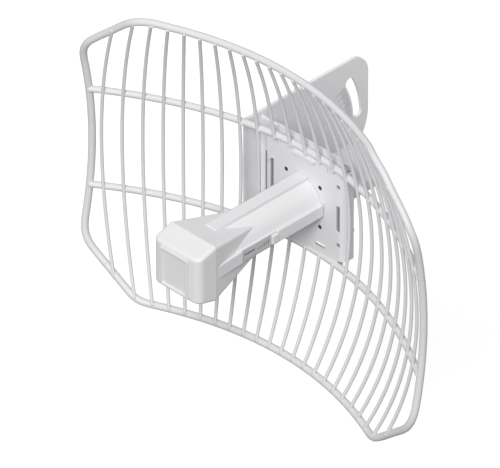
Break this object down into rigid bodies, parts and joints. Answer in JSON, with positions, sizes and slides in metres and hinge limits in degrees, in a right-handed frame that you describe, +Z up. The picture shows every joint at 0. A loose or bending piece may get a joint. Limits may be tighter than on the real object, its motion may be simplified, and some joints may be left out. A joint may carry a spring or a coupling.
{
  "type": "parabolic grid antenna",
  "caption": "Directional wire-grid reflector with a built-in radio feed at its focus, tilting on an elevation bracket that clamps to a round mast.",
  "frame": {"origin": "on the mast's axis, at the middle of the clamp's height", "axes": "+Z up along the mast, -Y towards the far end of the radio link (the boresight at zero tilt), +X to the right seen from the front of the dish"},
  "size_m": [0.3706, 0.2886, 0.2754],
  "materials": {
    "grid_coat": "smooth powder coat, satin",
    "plate_coat": "fine powder coat on sheet steel, satin",
    "bracket_coat": "fine powder coat on sheet steel, satin",
    "fastener_zinc": "zinc plated",
    "clamp_cast": "die cast, matt",
    "feed_plastic": "moulded, lightly textured",
    "panel_plastic": "moulded, smooth",
    "window_plastic": "translucent, smoked",
    "button_plastic": "moulded",
    "spring_steel": "drawn wire",
    "seal_rubber": "matt",
    "board_laminate": "solder resist",
    "can_steel": "tinned sheet",
    "light_plastic": "diffusing lens",
    "radiator_metal": "sheet"
  },
  "bodies": {
    "mast_mount": {"mast_bracket": "bracket_coat", "mast_saddle": "clamp_cast", "clamp_bolts": "fastener_zinc", "pivot_bolt": "fastener_zinc", "pivot_nut": "fastener_zinc", "pivot_washers": "fastener_zinc"},
    "clamp_jaw": {"mast_jaw": "clamp_cast", "clamp_nuts": "fastener_zinc"},
    "tilt_head": {"rim_rod": "grid_coat", "cross_rod_upper": "grid_coat", "cross_rod_lower": "grid_coat", "grid_wire_01": "grid_coat", "grid_wire_02": "grid_coat", "grid_wire_03": "grid_coat", "grid_wire_04": "grid_coat", "grid_wire_05": "grid_coat", "grid_wire_06": "grid_coat", "grid_wire_07": "grid_coat", "grid_wire_08": "grid_coat", "grid_wire_09": "grid_coat", "grid_wire_10": "grid_coat", "grid_wire_11": "grid_coat", "grid_wire_12": "grid_coat", "grid_wire_13": "grid_coat", "grid_wire_14": "grid_coat", "grid_wire_15": "grid_coat", "grid_wire_16": "grid_coat", "grid_wire_17": "grid_coat", "grid_wire_18": "grid_coat", "grid_wire_19": "grid_coat", "grid_wire_20": "grid_coat", "grid_wire_21": "grid_coat", "grid_wire_22": "grid_coat", "grid_wire_23": "grid_coat", "front_plate": "plate_coat", "plate_standoffs": "fastener_zinc", "bracket_screws": "fastener_zinc", "rear_bracket": "bracket_coat"},
    "feed_unit": {"feed_head": "feed_plastic", "face_frame": "panel_plastic", "face_panel": "panel_plastic", "feed_body": "feed_plastic", "side_cover": "feed_plastic", "status_window": "window_plastic", "release_spring": "spring_steel", "tail_housing": "feed_plastic", "tube_seal": "seal_rubber", "door_pin": "fastener_zinc", "reset_switch": "button_plastic", "circuit_board": "board_laminate", "shield_can": "can_steel", "ethernet_jack": "can_steel", "status_lights": "light_plastic", "radiator": "radiator_metal", "splash_plate": "radiator_metal"},
    "release_button": {"release_button": "feed_plastic"},
    "port_door": {"port_door": "feed_plastic"},
    "reset_button": {"reset_button": "button_plastic"}
  },
  "joints": [
    {"name": "elevation", "type": "hinge", "parent": "mast_mount", "child": "tilt_head", "pos_m": [0.0384, -0.0563, 0.0343], "axis": [-1, 0, 0], "range_deg": [0, 22]},
    {"name": "jaw_slide", "type": "slide", "parent": "mast_mount", "child": "clamp_jaw", "axis": [0, 1, 0], "range_m": [0, 0.008]},
    {"name": "feed_withdrawal", "type": "slide", "parent": "tilt_head", "child": "feed_unit", "axis": [0, -1, 0], "range_m": [0, 0.07]},
    {"name": "release_press", "type": "slide", "parent": "feed_unit", "child": "release_button", "axis": [-1, 0, 0], "range_m": [0, 0.002], "stiffness_N_per_m": 400, "springref_m": -0.002, "deforming": ["release_spring"]},
    {"name": "port_door_swing", "type": "hinge", "parent": "feed_unit", "child": "port_door", "pos_m": [0.107, -0.0408, 0.0646], "axis": [1, 0, 0], "range_deg": [0, 90]},
    {"name": "reset_press", "type": "slide", "parent": "feed_unit", "child": "reset_button", "axis": [0, -1, 0], "range_m": [0, 0.0008], "stiffness_N_per_m": 300, "springref_m": -0.001}
  ]
}
